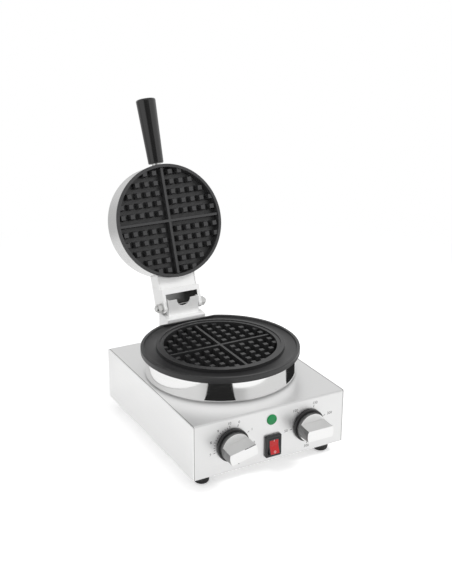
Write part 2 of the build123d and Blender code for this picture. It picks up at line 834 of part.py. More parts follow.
with BuildPart() as hinge_arm:
    with BuildSketch(arm_side.offset(-arm_half)) as arm_outline:
        with BuildLine():
            Polyline(
                (-arm_end, end_corner),
                (-arm_end, chamfer_top),
                (chamfer_foot, -arm_back),
                (lid_reach - shell_radius / 2, -arm_back),
                (lid_reach - shell_radius / 2, front_panel_level),
                (arm_step, front_panel_level),
                (arm_step, arm_front),
                (-front_corner, arm_front),
            )
            ThreePointArc(
                (-front_corner, arm_front),
                (arm_clear * cos(corner_turn), arm_clear * sin(corner_turn)),
                (-arm_end, end_corner),
            )
        make_face()
        fillet(arm_outline.vertices().group_by(Axis.Y)[0].sort_by(Axis.X)[0], bracket_sheet * 2)
    extrude(amount=2 * arm_half)
    with BuildSketch(arm_side.offset(-arm_inner)):
        with BuildLine():
            Polyline(
                (-2 * arm_end, arm_front - bracket_sheet),
                (-2 * arm_end, bracket_sheet - arm_back),
                (lid_reach, bracket_sheet - arm_back),
                (lid_reach, 2 * arm_front),
                (arm_step, 2 * arm_front),
                (arm_step, front_panel_level),
                (arm_step - bracket_sheet, front_panel_level),
                (arm_step - bracket_sheet, arm_front - bracket_sheet),
                close=True,
            )
        make_face()
    extrude(amount=2 * arm_inner, mode=Mode.SUBTRACT)
    with BuildSketch(lid_plane.offset(arm_front + 1)):
        with Locations((0, cut_out_top)):
            Rectangle(2 * cut_out_half, 2 * lid_reach, align=(Align.CENTER, Align.MAX))
    extrude(amount=-bracket_sheet - 2, mode=Mode.SUBTRACT)
    with BuildSketch(lid_plane.offset(bracket_sheet - arm_back)):
        with Locations((0, lid_reach)):
            Circle(shell_radius + bracket_sheet)
            Rectangle(2 * arm_half, 2 * shell_radius, align=(Align.CENTER, Align.MAX), mode=Mode.INTERSECT)
    extrude(amount=arm_back + front_panel_level - 2 * bracket_sheet - 2 * fit_gap)
    with BuildSketch(lid_plane.offset(-2 * arm_back)):
        with Locations((0, lid_reach)):
            Circle(shell_radius + fit_gap)
    extrude(amount=4 * arm_back, mode=Mode.SUBTRACT)
    with BuildSketch(arm_side.offset(-arm_half)):
        Circle(rod_radius + running_gap)
    extrude(amount=2 * arm_half, mode=Mode.SUBTRACT)
    for plane in arm_screw_planes:
        with BuildSketch(plane):
            Circle(arm_screw_radius + fit_gap)
        extrude(amount=shell_radius + 2 * bracket_sheet, mode=Mode.SUBTRACT)

with BuildPart() as arm_screws:
    for plane in arm_screw_planes:
        with BuildSketch(plane.offset(shell_radius - shell_wall - arm_screw_grip)):
            Circle(arm_screw_radius)
        extrude(amount=arm_screw_grip + shell_wall + bracket_sheet)
        with BuildSketch(plane.offset(shell_radius - shell_wall - 0.4)):
            RegularPolygon(2 * arm_screw_radius, 6)
        extrude(amount=0.4 - arm_screw_grip)
        with BuildSketch(plane.offset(shell_radius + bracket_sheet)):
            Circle(2 * arm_screw_radius)
        extrude(amount=arm_screw_radius)

# A folded cover closes the arm's front between the shelf and the lid
panel_half = arm_inner - 2 * fit_gap
panel_start = arm_step - bracket_sheet + 2 * fit_gap
with BuildPart() as arm_front_panel:
    with BuildSketch(lid_plane.offset(front_panel_level - fit_gap)):
        with Locations((0, panel_start)):
            Rectangle(2 * panel_half, lid_reach - panel_start, align=(Align.CENTER, Align.MIN))
        with Locations((0, lid_reach)):
            Circle(shell_radius + 2 * fit_gap, mode=Mode.SUBTRACT)
    extrude(amount=-bracket_sheet)
    with BuildSketch(lid_plane.offset(front_panel_level - fit_gap)):
        with Locations((0, panel_start)):
            Rectangle(2 * panel_half, lid_reach - panel_start, align=(Align.CENTER, Align.MIN))
            Rectangle(
                2 * (panel_half - bracket_sheet),
                lid_reach - panel_start,
                align=(Align.CENTER, Align.MIN),
                mode=Mode.SUBTRACT,
            )
        with Locations((0, lid_reach)):
            Circle(shell_radius + bracket_sheet + 2 * fit_gap, mode=Mode.SUBTRACT)
    extrude(amount=-panel_return)

# Handle: a stud in the plate's boss, a ferrule against the shell and a turned grip
handle_stud_start = upper_body_radius - boss_length + boss_wall + fit_gap
with BuildPart() as handle_stud:
    with BuildSketch(handle_root.offset(handle_stud_start)):
        Circle(handle_stud_radius)
    extrude(amount=handle_start + handle_stud_grip - handle_stud_start)

with BuildPart() as handle_ferrule:
    with BuildSketch(handle_root.offset(shell_radius - shell_edge)):
        Circle(ferrule_radius)
        Circle(handle_stud_radius + fit_gap, mode=Mode.SUBTRACT)
    extrude(amount=handle_start - shell_radius + shell_edge)
    with BuildSketch(lid_plane.offset(handle_offset - 2 * ferrule_radius)):
        with Locations((0, lid_reach)):
            Circle(shell_radius + fit_gap)
    extrude(amount=4 * ferrule_radius, mode=Mode.SUBTRACT)

with BuildPart() as handle:
    with BuildSketch(handle_section) as handle_outline:
        with BuildLine():
            Polyline(
                (0, handle_start),
                (handle_inner_radius, handle_start),
                (handle_outer_radius, handle_start + handle_length),
                (0, handle_start + handle_length),
                close=True,
            )
        make_face()
        fillet(handle_outline.vertices().sort_by(Axis.X)[-1], handle_end_round)
        fillet(handle_outline.vertices().group_by(Axis.Y)[0].sort_by(Axis.X)[-1], handle_start_round)
    revolve(axis=Axis(handle_section.origin, lid_plane.y_dir))
    with BuildSketch(handle_root.offset(handle_start)):
        Circle(handle_stud_radius + bore_gap)
    extrude(amount=handle_stud_grip + fit_gap, mode=Mode.SUBTRACT)


# Controls: depths are measured outwards from the front panel's face
def knob_ring(offset):
    """The flat ring behind a knob."""
    with BuildPart() as ring:
        with BuildSketch(front_plane.offset(panel_gap)):
            with Locations((offset, knob_height)):
                Circle(ring_radius)
                Circle(shaft_radius + bore_gap, mode=Mode.SUBTRACT)
        extrude(amount=ring_thickness)
        fillet(ring.edges().group_by(Axis.Y)[0].sort_by(SortBy.RADIUS)[-1], 1)
    return ring


def knob(offset, turn):
    """A round knob whose front is cut to a bar grip, turned anticlockwise by some degrees."""
    foot = panel_gap + ring_thickness
    across = radians(turn)
    with BuildPart() as turned:
        with BuildSketch(front_plane.offset(foot)):
            with Locations((offset, knob_height)):
                Circle(knob_radius)
        extrude(amount=knob_reach - foot)
        side_view = Plane(
            origin=(offset, front_y, floor_level + knob_height),
            x_dir=(0, -1, 0),
            z_dir=(-cos(across), 0, -sin(across)),
        )
        with BuildSketch(side_view):
            with BuildLine():
                Polyline(
                    (foot + knob_band, knob_radius),
                    (knob_reach, knob_grip / 2),
                    (knob_reach + 1, knob_grip / 2),
                    (knob_reach + 1, knob_radius + 1),
                    (foot + knob_band, knob_radius + 1),
                    close=True,
                )
            make_face()
            mirror(about=Plane.XZ)
        extrude(amount=knob_radius + 1, both=True, mode=Mode.SUBTRACT)
        fillet(turned.edges().group_by(Axis.Y)[0], knob_edge)
        with BuildSketch(front_plane.offset(foot)):
            with Locations((offset, knob_height)):
                Circle(shaft_radius + bore_gap)
        extrude(amount=shaft_grip, mode=Mode.SUBTRACT)
    return turned


def knob_shaft(offset):
    """The shaft from the control behind the panel into the knob."""
    with BuildPart() as shaft:
        with BuildSketch(front_plane.offset(-sheet - shaft_depth)):
            with Locations((offset, knob_height)):
                Circle(shaft_radius)
        extrude(amount=sheet + shaft_depth + panel_gap + ring_thickness + shaft_grip - fit_gap)
    return shaft


def control_body(offset, outline, depth):
    """A control behind the panel, with a bush through the panel's hole round its shaft."""
    with BuildPart() as control:
        with BuildSketch(front_plane.offset(-sheet - fit_gap)):
            with Locations((offset, knob_height)):
                add(outline)
        extrude(amount=-depth)
        with BuildSketch(front_plane.offset(-sheet - fit_gap)):
            with Locations((offset, knob_height)):
                Circle(bush_radius)
        extrude(amount=sheet + fit_gap)
        with BuildSketch(front_plane.offset(-sheet - shaft_depth - 2 * fit_gap)):
            with Locations((offset, knob_height)):
                Circle(shaft_radius + running_gap)
        extrude(amount=shaft_depth + 2 * sheet, mode=Mode.SUBTRACT)
    return control


with BuildSketch() as timer_outline:
    Circle(timer_radius)

with BuildSketch() as thermostat_outline:
    RectangleRounded(thermostat_side, thermostat_side, thermostat_corner)

timer_ring = knob_ring(-knob_offset)
timer_knob = knob(-knob_offset, timer_turn)
timer_shaft = knob_shaft(-knob_offset)
timer_body = control_body(-knob_offset, timer_outline.sketch, timer_depth)
temperature_ring = knob_ring(knob_offset)
temperature_knob = knob(knob_offset, 0)
temperature_shaft = knob_shaft(knob_offset)
thermostat_body = control_body(knob_offset, thermostat_outline.sketch, thermostat_depth)

lens_section = Plane(
    origin=(lens_offset, front_y, floor_level + lens_height), x_dir=(1, 0, 0), z_dir=(0, 0, 1)
)
lens_stem = lens_radius - lens_shoulder
with BuildPart() as indicator_lens:
    with BuildSketch(lens_section):
        with BuildLine():
            EllipticalCenterArc((0, -lens_flange), lens_radius, lens_reach - lens_flange, 270, arc_size=90)
            Polyline(
                (lens_radius, -lens_flange),
                (lens_radius, 0),
                (lens_stem, 0),
                (lens_stem, lens_depth),
                (0, lens_depth),
                (0, -lens_reach),
            )
        make_face()
    revolve(axis=Axis(lens_section.origin, (0, 1, 0)))

with BuildPart() as indicator_housing:
    with BuildSketch(front_plane.offset(-sheet - fit_gap)):
        with Locations((lens_offset, lens_height)):
            Circle(lens_radius)
    extrude(amount=-3 * lens_depth)
    with BuildSketch(front_plane.offset(-lens_depth - fit_gap)):
        with Locations((lens_offset, lens_height)):
            Circle(lens_stem + fit_gap)
    extrude(amount=lens_depth, mode=Mode.SUBTRACT)

# Rocker switch: the rocker tips on two pins inside its housing and now stands with its top pressed
rocker_face = switch_bezel - rocker_lift
rocker_sweep = hypot(rocker_tall / 2, rocker_face)
rocker_origin = (switch_offset, front_y - rocker_lift, floor_level + switch_height)
tilt = radians(rocker_tilt)
rocker_side = Plane(origin=rocker_origin, x_dir=(0, -cos(tilt), sin(tilt)), z_dir=(-1, 0, 0))
pin_side = Plane(origin=rocker_origin, x_dir=(0, 1, 0), z_dir=(1, 0, 0))
rocker_corner = (
    rocker_face * cos(tilt) + rocker_tall / 2 * sin(tilt),
    rocker_tall / 2 * cos(tilt) - rocker_face * sin(tilt),
)
rocker_heel = (-rocker_back, sqrt(rocker_sweep**2 - rocker_back**2))

with BuildPart() as power_rocker:
    with BuildSketch(rocker_side):
        with BuildLine():
            Line((rocker_face / cos(tilt), 0), rocker_corner)
            RadiusArc(rocker_corner, rocker_heel, -rocker_sweep)
            Line(rocker_heel, (-rocker_back, 0))
        with BuildLine():
            Line((-rocker_back, 0), (rocker_face / cos(tilt), 0))
        make_face()
        mirror(about=Plane.XZ)
    extrude(amount=rocker_width / 2, both=True)
    with BuildSketch(pin_side):
        Circle(pin_radius)
    extrude(amount=rocker_width / 2 + pin_length, both=True)

with BuildPart() as switch_housing:
    with BuildSketch(front_plane):
        with Locations((switch_offset, switch_height)):
            RectangleRounded(switch_width, switch_tall, switch_corner)
    extrude(amount=switch_bezel)
    chamfer(switch_housing.edges().group_by(Axis.Y)[0], 1)
    with BuildSketch(front_plane):
        with Locations((switch_offset, switch_height)):
            Rectangle(switch_body_width, switch_body_tall)
    extrude(amount=-switch_depth)
    with BuildSketch(front_plane.offset(switch_bezel)):
        with Locations((switch_offset, switch_height)):
            Rectangle(rocker_width + 2 * rocker_play, 2 * (rocker_sweep + rocker_play))
    extrude(amount=-switch_bezel - pocket_depth, mode=Mode.SUBTRACT)
    with BuildSketch(pin_side):
        Circle(pin_radius + running_gap)
    extrude(amount=rocker_width / 2 + pin_length + fit_gap, both=True, mode=Mode.SUBTRACT)

# Cable gland for the mains cord, in the rear panel
with BuildPart() as cable_gland:
    with BuildSketch(rear_plane.offset(-sheet - gland_thread)):
        with Locations((gland_across, gland_height)):
            Circle(gland_radius)
    extrude(amount=sheet + gland_thread)
    with BuildSketch(rear_plane):
        with Locations((gland_across, gland_height)):
            RegularPolygon(gland_radius + 3, 6, major_radius=False)
    extrude(amount=gland_flange)
    with BuildSketch(rear_plane.offset(gland_flange)):
        with Locations((gland_across, gland_height)):
            Circle(gland_radius + 2)
    extrude(amount=gland_cap)
    fillet(cable_gland.edges().group_by(Axis.Y)[-1], 3)
    with BuildSketch(rear_plane.offset(-sheet - gland_thread)):
        with Locations((gland_across, gland_height)):
            Circle(cord_radius)
    extrude(amount=sheet + gland_thread + gland_flange + gland_cap, mode=Mode.SUBTRACT)

with BuildPart() as gland_nut:
    with BuildSketch(rear_plane.offset(-sheet)):
        with Locations((gland_across, gland_height)):
            RegularPolygon(gland_radius + 3, 6, major_radius=False)
            Circle(gland_radius + bore_gap, mode=Mode.SUBTRACT)
    extrude(amount=-gland_flange)

with BuildPart() as terminal_block:
    with BuildSketch(Plane.XY.offset(floor_level + sheet)):
        with Locations((0, base_y + base_depth / 4)):
            Rectangle(terminal_pitch * terminal_count, terminal_width)
    extrude(amount=terminal_height)
    chamfer(terminal_block.edges().group_by(Axis.Z)[-1].filter_by(Axis.X), terminal_width / 6)
    with BuildSketch(Plane.XY.offset(floor_level + sheet + terminal_height)):
        with Locations((0, base_y + base_depth / 4)):
            with GridLocations(terminal_pitch, terminal_width / 3, terminal_count, 2):
                Circle(terminal_width / 12)
    extrude(amount=-terminal_height / 2, mode=Mode.SUBTRACT)

nodes = {
    "base_wrap": base_wrap,
    "side_panel_left": side_panel_left,
    "side_panel_right": side_panel_right,
    "bottom_plate": bottom_plate,
    **feet,
    "foot_screws": foot_screws,
    "case_screws": case_screws,
    "lower_drum": lower_drum,
    "lower_plate": lower_plate,
    "lower_heating_element": lower_heating_element,
    "lower_clamp_plate": lower_clamp_plate,
    "lower_studs": lower_studs,
    "lower_nuts": lower_nuts,
    "lower_heat_shield": lower_heat_shield,
    "hinge_pedestal": hinge_pedestal,
    "pedestal_screws": pedestal_screws,
    "hinge_bracket": hinge_bracket,
    "bracket_screws": bracket_screws,
    "pivot_rod": pivot_rod,
    "pivot_spacers": pivot_spacers,
    "pivot_washers": pivot_washers,
    "pivot_nuts": pivot_nuts,
    "lid_shell": lid_shell,
    "upper_plate": upper_plate,
    "upper_heating_element": upper_heating_element,
    "upper_clamp_plate": upper_clamp_plate,
    "upper_studs": upper_studs,
    "upper_nuts": upper_nuts,
    "upper_heat_shield": upper_heat_shield,
    "hinge_arm": hinge_arm,
    "arm_screws": arm_screws,
    "arm_front_panel": arm_front_panel,
    "handle_stud": handle_stud,
    "handle_ferrule": handle_ferrule,
    "handle": handle,
    "timer_ring": timer_ring,
    "timer_knob": timer_knob,
    "timer_shaft": timer_shaft,
    "timer_body": timer_body,
    "temperature_ring": temperature_ring,
    "temperature_knob": temperature_knob,
    "temperature_shaft": temperature_shaft,
    "thermostat_body": thermostat_body,
    "indicator_lens": indicator_lens,
    "indicator_housing": indicator_housing,
    "switch_housing": switch_housing,
    "power_rocker": power_rocker,
    "cable_gland": cable_gland,
    "gland_nut": gland_nut,
    "terminal_block": terminal_block,
}
for name, node in nodes.items():
    node.part.label = name
    export_step(node.part, f"parts/{name}.step")
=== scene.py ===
"""Finishes and fine parts of an open round waffle maker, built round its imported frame.

Every length is in metres, in the frame's own axes: X to the right, Y to the back, Z up.
"""

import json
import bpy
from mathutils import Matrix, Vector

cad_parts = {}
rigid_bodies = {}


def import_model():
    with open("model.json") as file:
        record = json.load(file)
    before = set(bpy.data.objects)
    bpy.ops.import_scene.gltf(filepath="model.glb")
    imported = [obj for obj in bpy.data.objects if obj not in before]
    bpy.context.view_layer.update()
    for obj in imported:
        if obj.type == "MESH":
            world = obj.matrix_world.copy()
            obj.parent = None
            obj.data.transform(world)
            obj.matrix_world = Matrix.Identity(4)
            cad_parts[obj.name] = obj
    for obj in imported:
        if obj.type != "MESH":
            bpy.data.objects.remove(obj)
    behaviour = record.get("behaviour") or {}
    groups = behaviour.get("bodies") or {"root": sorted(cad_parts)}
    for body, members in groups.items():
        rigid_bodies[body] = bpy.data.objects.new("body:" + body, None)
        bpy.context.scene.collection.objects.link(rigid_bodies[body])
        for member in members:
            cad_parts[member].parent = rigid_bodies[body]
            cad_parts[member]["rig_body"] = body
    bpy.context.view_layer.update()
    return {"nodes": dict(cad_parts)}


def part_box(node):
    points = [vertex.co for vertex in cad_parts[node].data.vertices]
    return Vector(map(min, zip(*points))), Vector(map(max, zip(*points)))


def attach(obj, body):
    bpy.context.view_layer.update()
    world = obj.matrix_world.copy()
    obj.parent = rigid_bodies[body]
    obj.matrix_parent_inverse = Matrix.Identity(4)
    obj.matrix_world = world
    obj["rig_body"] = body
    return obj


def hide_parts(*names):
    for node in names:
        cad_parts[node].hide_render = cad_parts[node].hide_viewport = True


bl_info = {
    "name": "Round Waffle Maker",
    "version": (1, 0, 0),
    "blender": (4, 5, 0),
    "location": "3D View > Sidebar > Waffle Maker",
    "description": "Finishes, dial marks and softened castings for a round waffle maker",
    "category": "Object",
}

from math import cos, pi, radians, sin

import bmesh
import bpy
from bpy.props import FloatProperty, FloatVectorProperty, IntProperty, PointerProperty
from mathutils import Matrix, Vector
from mathutils.bvhtree import BVHTree

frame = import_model()
nodes = frame["nodes"]


def middle(node):
    """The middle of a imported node."""
    low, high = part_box(node)
    return (low + high) / 2


# The lid's axes at rest, for the finish of its shell
LID_TURN = radians(70)
LID_CENTRE = middle("upper_studs")

# How far the timer's knob is turned at rest
TIMER_TURN = radians(12)

# Brushing: the size of a line across and along, and how deep it is cut
LINE_ACROSS = 0.0007
LINE_ALONG = 0.12
LINE_DEPTH = 0.000006

# Half of the thickness of a printed number or word
INK_HALF = 0.00003

# Azimuths that the drum's two dark bands mirror, in degrees: at its foot, then farther out
DRUM_BANDS = {
    "flag_front": ((-51, -5), (-45, -11)),
    "flag_right": ((90, 135), (90, 135)),
}
BAND_REACH = 0.085

# How far the stage's flags keep from the drum's wall and from the sheet it stands on
FLAG_GAP = 0.0002
FLAG_LIFT = 0.0006


def colour(name, description, default):
    """One colour of a property group."""
    return FloatVectorProperty(
        name=name,
        description=description,
        subtype="COLOR",
        size=4,
        min=0,
        max=1,
        default=(*default, 1),
    )


def length(name, description, default):
    """One length of a property group, in metres."""
    return FloatProperty(
        name=name,
        description=description,
        default=default,
        unit="LENGTH",
        precision=5,
    )


def angle(name, description, degrees):
    """One angle of a property group, given in degrees."""
    return FloatProperty(
        name=name,
        description=description,
        default=radians(degrees),
        subtype="ANGLE",
    )


def strength(name, description, default):
    """One plain number of a property group that isn't below 0."""
    return FloatProperty(name=name, description=description, default=default, min=0)


class WaffleColours(bpy.types.PropertyGroup):
    """The colours of the finishes."""

    sheet_steel: colour("Sheet steel", "Brushed housing sheets", (0.83, 0.83, 0.827))
    polished_steel: colour("Polished steel", "Drum and lid shell", (0.84, 0.84, 0.835))
    hinge_steel: colour("Hinge steel", "Folded hinge sheets", (0.97, 0.97, 0.965))
    bright_metal: colour("Bright metal", "Plated pins, nuts and screws", (0.82, 0.82, 0.81))
    coating: colour("Coating", "Non-stick coating of the cast plates", (0.018, 0.018, 0.0185))
    handle: colour("Handle", "Moulded handle", (0.008, 0.008, 0.008))
    knob: colour("Knob", "Silver knobs", (0.84, 0.84, 0.835))
    knob_side: colour("Knob side", "Fine ribbed side of the knobs", (0.26, 0.26, 0.26))
    plastic: colour("Plastic", "Black moulded fittings", (0.012, 0.012, 0.013))
    rubber: colour("Rubber", "Feet", (0.014, 0.014, 0.014))
    lens: colour("Lens", "Lamp lens", (0.0, 0.23, 0.06))
    rocker: colour("Rocker", "Switch rocker", (0.52, 0.006, 0.008))
    ink: colour("Ink", "Marks round the dials", (0.03, 0.03, 0.032))
    rocker_ink: colour("Rocker ink", "Marks on the rocker", (0.85, 0.82, 0.80))


class WaffleSizes(bpy.types.PropertyGroup):
    """The sizes of the fine parts."""

    cast_edge: length("Cast edge", "Rounding of the cast plates' edges", 0.0011)
    sheet_edge: length("Sheet edge", "Rounding of the folded sheets' edges", 0.0004)
    moulded_edge: length("Moulded edge", "Rounding of the moulded parts' edges", 0.0005)
    mark_height: length("Number height", "Height of the numbers on the dials", 0.0042)
    mark_depth: length("Ink depth", "How far the ink stands on the sheet", 0.00006)
    mark_gap: length("Mark gap", "From a knob's ring to its ticks", 0.0025)
    tick_width: length("Tick width", "Width of a dial's tick", 0.0008)
    tick_long: length("Long tick", "Length of a numbered tick", 0.0034)
    tick_short: length("Short tick", "Length of a tick with no number", 0.0022)
    grip_width: length("Grip width", "Thickness of a knob's bar", 0.0165)
    grip_draft: length("Grip draft", "How much wider each side of the bar is at its root", 0.0016)
    knob_play: length("Knob play", "How far a knob stays inside its packed node at each end", 0.0001)
    skirt_depth: length("Skirt depth", "Thickness of a knob's disc", 0.0075)
    pointer_width: length("Pointer width", "Width of the timer knob's dark line", 0.0012)
    # Painted shadow: the black edge round the red window stands for the bezel's shade on the rocker
    window_inset: length("Window inset", "Black edge round the rocker's red window", 0.0029)
    rocker_mark: length("Rocker mark", "Height of the rocker's line and ring", 0.0034)
    rib_count: IntProperty(name="Ribs", description="Ribs round a knob's side", default=72, min=12)


class WaffleStudio(bpy.types.PropertyGroup):
    """The camera and the lights."""

    turn: angle("Turn", "Camera's azimuth", -28.466)
    lift: angle("Lift", "Camera's elevation", 20.623)
    roll: angle("Roll", "Camera's roll", 0.128)
    distance: length("Distance", "Camera to target", 1.5273)
    aim_across: length("Aim across", "The target, to the right of the middle", 0.0087)
    aim_level: length("Aim level", "The target, above the floor", 0.2260)
    lens: strength("Focal length", "Millimetres on a 36 mm side", 62.62)
    sky: strength("Sky", "Strength of the surrounding light", 0.64)
    key: strength("Key lamp", "Watts of the lamp at the upper right", 16)
    fill: strength("Fill lamp", "Watts of the lamp at the left", 5)


class Value:
    """A socket of a finish, so that sums on it are written as plain Python."""

    def __init__(self, finish, socket):
        self.finish = finish
        self.socket = socket

    def sum(self, operation, *terms):
        """One Math node on some terms."""
        return self.finish.node("ShaderNodeMath", {"operation": operation}, dict(enumerate(terms)))

    def __add__(self, other):
        return self.sum("ADD", self, other)

    def __sub__(self, other):
        return self.sum("SUBTRACT", self, other)

    def __rsub__(self, other):
        return self.sum("SUBTRACT", other, self)

    def __mul__(self, other):
        return self.sum("MULTIPLY", self, other)

    __radd__ = __add__
    __rmul__ = __mul__


class Finish:
    """One procedural material, or the world, and the nodes that make it."""

    def __init__(self, owner):
        self.owner = owner
        owner.use_nodes = True
        self.tree = owner.node_tree
        self.tree.nodes.clear()

    def node(self, kind, settings=None, values=None, out=0):
        """A new node: its settings first, then the values or links of its sockets."""
        made = self.tree.nodes.new(kind)
        for name, setting in (settings or {}).items():
            setattr(made, name, setting)
        for name, value in (values or {}).items():
            if isinstance(value, Value):
                self.tree.links.new(value.socket, made.inputs[name])
            else:
                made.inputs[name].default_value = value
        return Value(self, made.outputs[out]) if made.outputs else None

    def place(self):
        """Where a point of the piece is, in the frame's axes."""
        return self.node("ShaderNodeTexCoord", out="Object")

    def parts(self, vector, axes):
        """Some of a vector's three numbers."""
        apart = self.node("ShaderNodeSeparateXYZ", values={"Vector": vector})
        return [Value(self, apart.socket.node.outputs[axis]) for axis in axes]

    def fitted(self, centre=(0, 0, 0), turn=(0, 0, 0), stretch=(1, 1, 1)):
        """The place measured from a centre, in turned axes, each axis divided by its stretch."""
        return self.node(
            "ShaderNodeMapping",
            {"vector_type": "TEXTURE"},
            {"Vector": self.place(), "Location": centre, "Rotation": turn, "Scale": stretch},
        )

    def clouds(self, vector, scale, detail=3.0, roughness=0.5):
        """Soft noise from 0 to 1."""
        return self.node(
            "ShaderNodeTexNoise",
            {"noise_dimensions": "3D"},
            {"Vector": vector, "Scale": scale, "Detail": detail, "Roughness": roughness},
            "Fac",
        )

    def fade(self, value, low, high):
        """0 below one value and 1 above another, with a smooth rise between."""
        return self.node(
            "ShaderNodeMapRange",
            {"interpolation_type": "SMOOTHSTEP"},
            {"Value": value, "From Min": low, "From Max": high},
        )

    def blend(self, share, low, high):
        """A colour between two, by share."""
        return self.node(
            "ShaderNodeMix",
            {"data_type": "RGBA"},
            {0: share, 6: low, 7: high},
            2,
        )

    def bump(self, height, depth):
        """A normal bent by a height from 0 to 1, of some depth in metres."""
        return self.node("ShaderNodeBump", values={"Distance": depth, "Height": height})

    def brushing(self, stretch, centre=(0, 0, 0), turn=(0, 0, 0)):
        """Fine lines along the axes of the greater stretch, and the soft clouds under them."""
        lines = self.clouds(self.fitted(centre, turn, stretch), 1.0, 4.0, 0.65)
        return lines, self.clouds(self.place(), 14.0, 3.0)

    def glow(self, strength):
        """White light given off, of some strength."""
        return self.node("ShaderNodeEmission", values={"Strength": strength})

    def one_sided(self, glow):
        """The output of a finish that glows on a face's front and is clear on its back."""
        clear = self.node("ShaderNodeBsdfTransparent")
        back = self.node("ShaderNodeNewGeometry", out="Backfacing")
        both = self.node("ShaderNodeMixShader", values={0: back, 1: self.glow(glow), 2: clear})
        self.node("ShaderNodeOutputMaterial", values={"Surface": both})
        return self.owner

    def surface(self, **sockets):
        """The shader and the output. Names of sockets are written with underscores."""
        named = {name.replace("_", " "): value for name, value in sockets.items()}
        shader = self.node("ShaderNodeBsdfPrincipled", values=named)
        self.node("ShaderNodeOutputMaterial", values={"Surface": shader})
        return self.owner


def material(name):
    """A new material's finish."""
    return Finish(bpy.data.materials.new(name))


def darker(shade, share):
    """A colour times a share."""
    return (shade[0] * share, shade[1] * share, shade[2] * share, 1)


def brushed(
    name, shade, stretch, rough, centre=(0, 0, 0), turn=(0, 0, 0), depth=LINE_DEPTH, metal=1.0
):
    """Brushed metal, with its lines along the axes of the greater stretch."""
    steel = material(name)
    lines, clouds = steel.brushing(stretch, centre, turn)
    return steel.surface(
        Base_Color=steel.blend(lines * 0.6 + clouds * 0.4, darker(shade, 0.94), darker(shade, 1.05)),
        Metallic=metal,
        Roughness=lines * 0.10 + clouds * 0.06 + (rough - 0.08),
        Normal=steel.bump(lines, depth),
    )


def wrapped(name, shade, stretch, rough):
    """Brushed sheet of the base's wrap, with painted light: lighter on its top and darker on its
    front, and a painted shadow along its two side edges.
    """
    steel = material(name)
    lines, clouds = steel.brushing(stretch)
    width, _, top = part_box("base_wrap")[1]
    across, up = steel.parts(steel.place(), "XZ")
    # Painted shadow: a dark strip along both side edges of the front, for the shade in the seam gap
    edge = steel.fade(across.sum("ABSOLUTE", across), width - 0.0011, width - 0.0006)
    # Painted light and shade: by height, the top of the sheet lighter and its front darker
    top_lit_share = steel.fade(up, top - 0.0012, top - 0.0002)
    grain = lines * 0.6 + clouds * 0.4
    upper = steel.blend(grain, darker(shade, 0.98), darker(shade, 1.09))
    front = steel.blend(grain, darker(shade, 0.86), darker(shade, 0.95))
    sheet = steel.blend(top_lit_share, front, upper)
    return steel.surface(
        Base_Color=steel.blend(edge, sheet, darker(shade, 0.35)),
        Metallic=1.0,
        Roughness=lines * 0.10 + clouds * 0.06 + (rough - 0.08),
        Normal=steel.bump(lines, 0.00001),
    )


def bare_on_top(name, shade, rough):
    """Plated metal of the hinge's rod, its own colour on top and nearly black below: a painted
    shadow under the rod.
    """
    rod = material(name)
    clouds = rod.clouds(rod.place(), 300.0, 2.0)
    [up] = rod.parts(rod.place(), "Z")
    level = middle("pivot_rod").z
    # Painted shadow: below this height the rod is nearly black
    lit_share = rod.fade(up, level + 0.0024, level + 0.0034)
    return rod.surface(
        Base_Color=rod.blend(lit_share, darker(shade, 0.03), shade),
        Metallic=1.0,
        Roughness=clouds * 0.08 + (rough - 0.04),
    )


def coated(name, shade, rough):
    """Satin non-stick coating on a casting."""
    coat = material(name)
    grain = coat.clouds(coat.place(), 900.0, 2.0)
    wear = coat.clouds(coat.place(), 22.0, 4.0, 0.6)
    return coat.surface(
        Base_Color=coat.blend(wear, darker(shade, 0.8), darker(shade, 1.5)),
        Roughness=wear * 0.14 + grain * 0.06 + (rough - 0.1),
        Normal=coat.bump(grain, 0.00004),
    )


def moulded(name, shade, rough, grain_depth=0.00001, coat=0.0):
    """Moulded plastic or rubber."""
    plastic = material(name)
    grain = plastic.clouds(plastic.place(), 1400.0, 2.0)
    clouds = plastic.clouds(plastic.place(), 40.0, 2.0)
    return plastic.surface(
        Base_Color=plastic.blend(clouds, darker(shade, 0.85), darker(shade, 1.2)),
        Roughness=clouds * 0.08 + grain * 0.04 + (rough - 0.06),
        Coat_Weight=coat,
        Coat_Roughness=0.05,
        Normal=plastic.bump(grain, grain_depth),
    )


def ribbed(name, shade, rough, ribs):
    """Satin metal with fine ribs round the axis of each knob."""
    side = material(name)
    knob = middle("timer_knob")
    across, up = side.parts(side.place(), "XZ")
    turn = up.sum("ARCTAN2", up - knob.z, across.sum("ABSOLUTE", across) + knob.x)
    rib = turn.sum("SINE", turn * ribs)
    clouds = side.clouds(side.place(), 60.0, 2.0)
    grain = rib * 0.3 + clouds * 0.3 + 0.35
    return side.surface(
        Base_Color=side.blend(grain, darker(shade, 0.6), darker(shade, 1.4)),
        Metallic=1.0,
        Roughness=clouds * 0.06 + (rough - 0.03),
        Normal=side.bump(rib * 0.5 + 0.5, 0.00016),
    )


